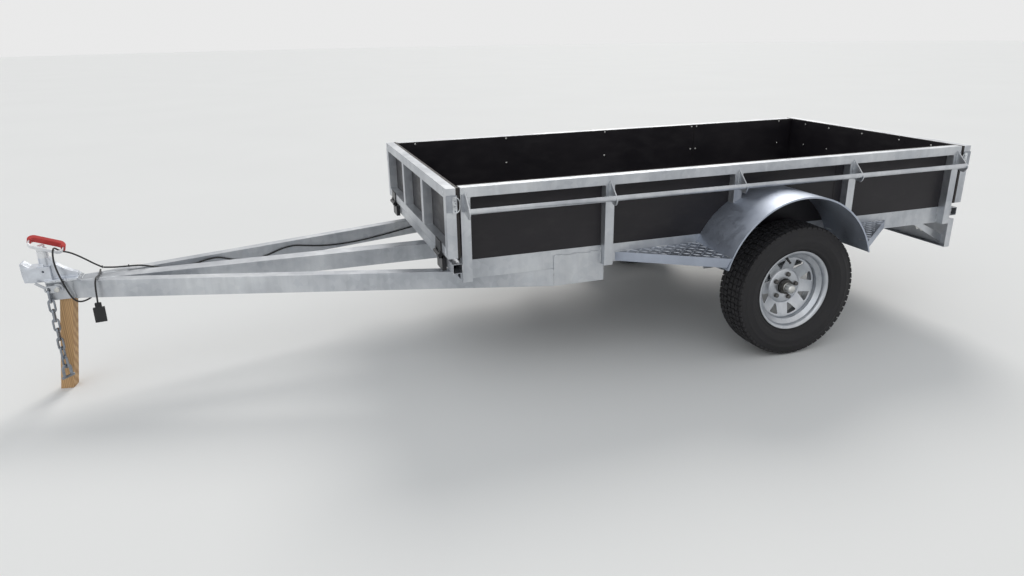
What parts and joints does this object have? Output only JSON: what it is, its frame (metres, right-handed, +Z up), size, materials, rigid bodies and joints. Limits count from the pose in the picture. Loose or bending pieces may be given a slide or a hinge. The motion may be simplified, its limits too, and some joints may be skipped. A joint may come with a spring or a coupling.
{
  "type": "box utility trailer",
  "caption": "Galvanised box trailer with a ply-lined tray, drop gates at both ends, rope rails, mudguards, leaf springs and a screw coupling on a braced drawbar.",
  "frame": {"origin": "on the ground, midway along the overall length and on the centre line", "axes": "+X forward to the coupling, +Y to the trailer's left, +Z up"},
  "size_m": [4.248, 1.772, 0.86],
  "materials": {
    "galvanised": "hot dip galvanised, lightly mottled",
    "board": "film faced plywood, near black, satin",
    "black_steel": "black paint, satin",
    "cast": "zinc plated casting",
    "grip": "soft red plastic",
    "tyre": "matte rubber",
    "wheel": "galvanised pressed steel",
    "hub": "dark cast, greased cap",
    "bolt": "bright zinc",
    "lens": "red and amber lens on a black base",
    "plate": "blank white plate",
    "pine": "sawn softwood",
    "chain": "zinc plated chain",
    "cable": "black sheath"
  },
  "bodies": {
    "chassis": {"side_rails": "galvanised", "cross_members": "galvanised", "end_rails": "galvanised", "posts": "galvanised", "top_rails": "galvanised", "side_panels": "board", "floor_panel": "board", "rope_rails": "galvanised", "hinge_brackets": "black_steel", "latch_keepers": "galvanised", "drawbar_beams": "galvanised", "centre_beam": "galvanised", "drawbar_gussets": "galvanised", "coupling_plate": "galvanised", "coupling_body": "cast", "coupling_handle": "bolt", "coupling_grip": "grip", "axle_beam": "galvanised", "leaf_springs": "galvanised", "spring_hangers": "galvanised", "spring_clamps": "bolt", "mudguards": "galvanised", "lamp_board": "galvanised", "tail_lamps": "lens", "number_plate": "plate", "timber_prop": "pine", "safety_chain": "chain", "chain_lug": "galvanised", "wiring_harness": "cable", "trailer_lead": "cable", "lead_plug": "cable"},
    "wheel_left": {"tyre_left": "tyre", "rim_left": "wheel", "hub_left": "hub", "wheel_nuts_left": "bolt"},
    "wheel_right": {"tyre_right": "tyre", "rim_right": "wheel", "hub_right": "hub", "wheel_nuts_right": "bolt"},
    "front_gate": {"front_gate_frame": "galvanised", "front_gate_panel": "board", "front_gate_hinge_leaves": "black_steel", "front_gate_latches": "galvanised"},
    "rear_gate": {"rear_gate_frame": "galvanised", "rear_gate_panel": "board", "rear_gate_hinge_leaves": "black_steel", "rear_gate_latches": "galvanised"}
  },
  "joints": [
    {"name": "wheel_left_spin", "type": "hinge", "parent": "chassis", "child": "wheel_left", "pos_m": [-1.035, 0.742, 0.302], "axis": [0, 1, 0], "continuous": true},
    {"name": "wheel_right_spin", "type": "hinge", "parent": "chassis", "child": "wheel_right", "pos_m": [-1.035, -0.742, 0.302], "axis": [0, 1, 0], "continuous": true},
    {"name": "front_gate_hinge", "type": "hinge", "parent": "chassis", "child": "front_gate", "pos_m": [0.515, 0, 0.5685], "axis": [0, 1, 0], "range_deg": [0, 100]},
    {"name": "rear_gate_hinge", "type": "hinge", "parent": "chassis", "child": "rear_gate", "pos_m": [-2.115, 0, 0.5685], "axis": [0, -1, 0], "range_deg": [0, 180]}
  ]
}
